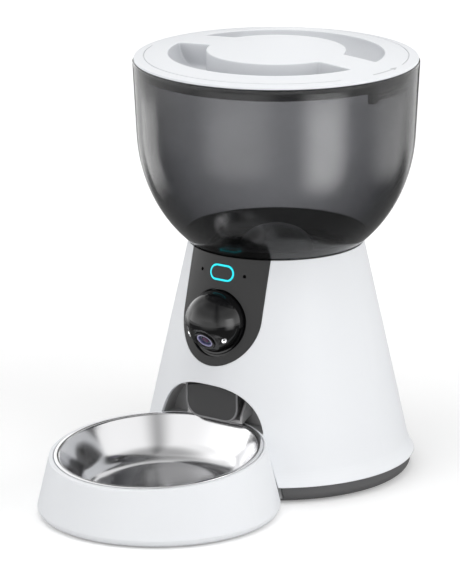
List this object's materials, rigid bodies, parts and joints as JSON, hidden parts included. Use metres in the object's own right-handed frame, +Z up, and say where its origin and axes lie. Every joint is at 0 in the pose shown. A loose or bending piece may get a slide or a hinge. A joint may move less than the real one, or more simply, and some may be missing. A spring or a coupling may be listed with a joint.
{
  "type": "automatic pet feeder with camera",
  "caption": "Automatic pet feeder: cone body with a panning camera and feed button, smoked hopper with a bayonet lid, metering rotor, guard flap, and a steel bowl in a pull-out tray.",
  "frame": {"origin": "On the floor under the body's axis, in the middle of the foot ring.", "axes": "+Z up along the body's axis; the front, with the camera and the bowl, faces -Y; +X to the right of someone who stands behind the feeder."},
  "size_m": [0.202, 0.3229, 0.3046],
  "materials": {
    "white_plastic": "satin",
    "dark_plastic": "satin",
    "black_gloss": "gloss",
    "rubber": "matte",
    "smoked_plastic": "transparent gloss",
    "stainless_steel": "polished",
    "plated_steel": "plain",
    "brass": "plain",
    "light": "translucent",
    "lens_glass": "coated",
    "lamp_glass": "clear",
    "circuit_board": "satin"
  },
  "bodies": {
    "base": {"body_shell": "white_plastic", "base_cover": "dark_plastic", "foot_ring": "rubber", "base_screws": "plated_steel", "front_panel": "dark_plastic", "button_light_ring": "light", "button_board": "circuit_board", "microphone": "black_gloss", "status_lamp": "light", "camera_socket": "black_gloss", "pan_motor": "plated_steel", "outlet_liner": "dark_plastic", "food_chute": "dark_plastic", "rotor_pan": "dark_plastic", "pan_screws": "plated_steel", "shaft_bush": "brass", "gear_plate": "dark_plastic", "drive_motor": "plated_steel", "main_board": "circuit_board", "board_parts": "black_gloss", "board_screws": "plated_steel", "speaker": "black_gloss", "power_socket": "black_gloss"},
    "hopper": {"hopper_shell": "smoked_plastic", "hopper_funnel": "dark_plastic"},
    "seal": {"lid_seal": "rubber"},
    "lid": {"lid_cover": "white_plastic", "lid_ring": "dark_plastic"},
    "rotor": {"feed_rotor": "dark_plastic", "output_shaft": "plated_steel", "drive_gear": "white_plastic"},
    "pinion": {"motor_pinion": "brass"},
    "hood": {"camera_hood": "black_gloss"},
    "head": {"camera_head": "black_gloss", "lens_barrel": "black_gloss", "front_lens": "lens_glass", "infrared_lamps": "lamp_glass"},
    "button": {"feed_button": "dark_plastic"},
    "flap": {"outlet_flap": "dark_plastic", "flap_pin": "plated_steel"},
    "tray": {"bowl_tray": "white_plastic", "tray_feet": "rubber"},
    "bowl": {"steel_bowl": "stainless_steel"}
  },
  "joints": [
    {"name": "hopper_lift", "type": "slide", "parent": "base", "child": "hopper", "axis": [0, 0, 1], "range_m": [0, 0.08]},
    {"name": "lid_lift", "type": "slide", "parent": "hopper", "child": "seal", "axis": [0, 0, 1], "range_m": [0, 0.06]},
    {"name": "lid_twist", "type": "hinge", "parent": "seal", "child": "lid", "pos_m": [0, 0, 0.2965], "axis": [0, 0, 1], "range_deg": [0, 30]},
    {"name": "rotor_spin", "type": "hinge", "parent": "base", "child": "rotor", "pos_m": [0, 0, 0.15], "axis": [0, 0, 1], "continuous": true},
    {"name": "pinion_spin", "type": "hinge", "parent": "base", "child": "pinion", "pos_m": [0, 0.0216, 0.141], "axis": [0, 0, 1], "continuous": true},
    {"name": "camera_pan", "type": "hinge", "parent": "base", "child": "hood", "pos_m": [0, -0.07002, 0.121], "axis": [0, 0, 1], "range_deg": [-60, 60]},
    {"name": "camera_tilt", "type": "hinge", "parent": "hood", "child": "head", "pos_m": [0, -0.07002, 0.121], "axis": [1, 0, 0], "range_deg": [-10, 12]},
    {"name": "feed_press", "type": "slide", "parent": "base", "child": "button", "axis": [0, 0.9764, -0.2161], "range_m": [0, 0.001], "stiffness_N_per_m": 400},
    {"name": "flap_swing", "type": "hinge", "parent": "base", "child": "flap", "pos_m": [0, -0.07359, 0.073], "axis": [-1, 0, 0], "range_deg": [0, 35]},
    {"name": "tray_pull", "type": "slide", "parent": "base", "child": "tray", "axis": [0, -1, 0], "range_m": [0, 0.12]},
    {"name": "bowl_turn", "type": "hinge", "parent": "tray", "child": "bowl", "pos_m": [0, -0.1375, 0.0446], "axis": [0, -0.0785, 0.9969], "continuous": true}
  ],
  "couplings": [
    {"joint": "pinion_spin", "follows": "rotor_spin", "ratio": -3}
  ]
}
